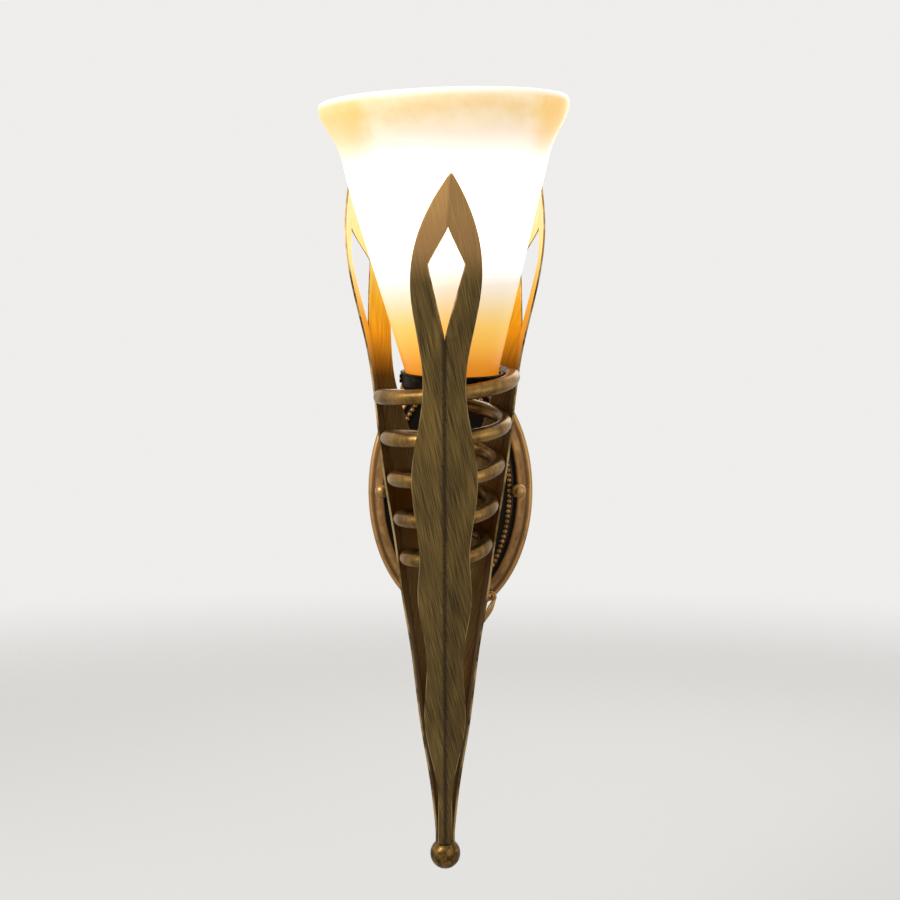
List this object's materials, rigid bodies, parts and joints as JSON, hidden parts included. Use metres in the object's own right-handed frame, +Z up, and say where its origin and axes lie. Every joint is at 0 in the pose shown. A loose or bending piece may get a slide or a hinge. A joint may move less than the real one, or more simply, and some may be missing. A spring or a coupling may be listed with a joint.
{
  "type": "torch sconce",
  "caption": "Torch wall light: a glass bell in a cone of folded leaves and a coiled rod, with a ball at its foot, on an oval wall plate.",
  "frame": {"origin": "on the wall, at the centre of the wall strap and plate, midway between the two wall screw holes", "axes": "+X to the right seen from the room, +Y into the wall, +Z up"},
  "size_m": [0.1482, 0.1886, 0.4936],
  "materials": {
    "leaf_gold": "brushed antique gold over metal, worn thin on the edges",
    "rod_gold": "antique gold finish",
    "ball_brass": "polished antique brass",
    "plate_bronze": "copper-bronze antique finish",
    "dark_bronze": "near-black bronze",
    "shade_glass": "mottled amber and cream alabaster-style glass",
    "bulb_glass": "frosted lamp glass",
    "bulb_inside": "lamp's inner mount",
    "zinc_steel": "zinc-plated steel",
    "bright_brass": "plain brass",
    "porcelain": "glazed white ceramic",
    "holder_plastic": "off-white plastic",
    "soft_ring": "soft black ring",
    "lead_brown": "brown insulation",
    "lead_blue": "blue insulation",
    "lead_green": "green insulation"
  },
  "bodies": {
    "fixture": {"wall_strap": "zinc_steel", "strap_studs": "zinc_steel", "stud_nuts": "zinc_steel", "terminal_block": "holder_plastic", "terminal_screws": "bright_brass", "earth_screw": "bright_brass", "earth_lead": "lead_green", "plate": "plate_bronze", "bead_band": "plate_bronze", "scroll_top": "plate_bronze", "scroll_foot": "plate_bronze", "arm_nipple": "bright_brass", "arm_boss": "plate_bronze", "arm_wedge": "zinc_steel", "arm_lock_nut": "zinc_steel", "arm_tube": "rod_gold", "hub": "rod_gold", "stem_nipple": "bright_brass", "stem_tube": "rod_gold", "tie_rod": "zinc_steel", "foot_collar": "zinc_steel", "leaf_front": "leaf_gold", "leaf_left": "leaf_gold", "leaf_right": "leaf_gold", "coil": "rod_gold", "fitter_cup": "dark_bronze", "cup_lock_nut": "zinc_steel", "neck_gasket": "soft_ring", "holder_shell": "holder_plastic", "holder_core": "porcelain", "holder_thread": "bright_brass", "holder_contact": "bright_brass", "lead_live": "lead_brown", "lead_neutral": "lead_blue"},
    "shade": {"glass_shade": "shade_glass"},
    "bulb": {"bulb_cap": "zinc_steel", "bulb_tip": "zinc_steel", "bulb_glass": "bulb_glass", "bulb_mount": "bulb_inside"},
    "neck_screw_front": {"neck_screw_front": "dark_bronze"},
    "neck_screw_rear": {"neck_screw_rear": "dark_bronze"},
    "neck_screw_left": {"neck_screw_left": "dark_bronze"},
    "ball_finial": {"ball_finial": "ball_brass"},
    "cap_nut_left": {"cap_nut_left": "plate_bronze"},
    "cap_nut_right": {"cap_nut_right": "plate_bronze"}
  },
  "joints": [
    {"name": "shade_lift", "type": "slide", "parent": "fixture", "child": "shade", "axis": [-0.036, -0.1786, 0.9833], "range_m": [0, 0.13]},
    {"name": "bulb_turn", "type": "hinge", "parent": "fixture", "child": "bulb", "pos_m": [0.00137, -0.08876, 0.08185], "axis": [0.0146, -0.1788, 0.9838], "range_deg": [0, 1080]},
    {"name": "neck_screw_front_turn", "type": "hinge", "parent": "fixture", "child": "neck_screw_front", "pos_m": [0.01663, -0.11318, 0.06585], "axis": [0.4976, -0.8521, -0.1622], "range_deg": [0, 720]},
    {"name": "neck_screw_rear_turn", "type": "hinge", "parent": "fixture", "child": "neck_screw_rear", "pos_m": [0.01678, -0.06035, 0.07545], "axis": [0.5022, 0.8521, 0.1474], "range_deg": [0, 720]},
    {"name": "neck_screw_left_turn", "type": "hinge", "parent": "fixture", "child": "neck_screw_left", "pos_m": [-0.02979, -0.08676, 0.07134], "axis": [-0.9999, 0, 0.0148], "range_deg": [0, 720]},
    {"name": "ball_finial_turn", "type": "hinge", "parent": "fixture", "child": "ball_finial", "pos_m": [-0.00338, -0.03059, -0.23823], "axis": [-0.0146, 0.1788, -0.9838], "range_deg": [0, 1440]},
    {"name": "cap_nut_left_turn", "type": "hinge", "parent": "fixture", "child": "cap_nut_left", "pos_m": [-0.0455, -0.018, 0], "axis": [0, -1, 0], "range_deg": [0, 1440]},
    {"name": "cap_nut_right_turn", "type": "hinge", "parent": "fixture", "child": "cap_nut_right", "pos_m": [0.0455, -0.018, 0], "axis": [0, -1, 0], "range_deg": [0, 1440]}
  ]
}
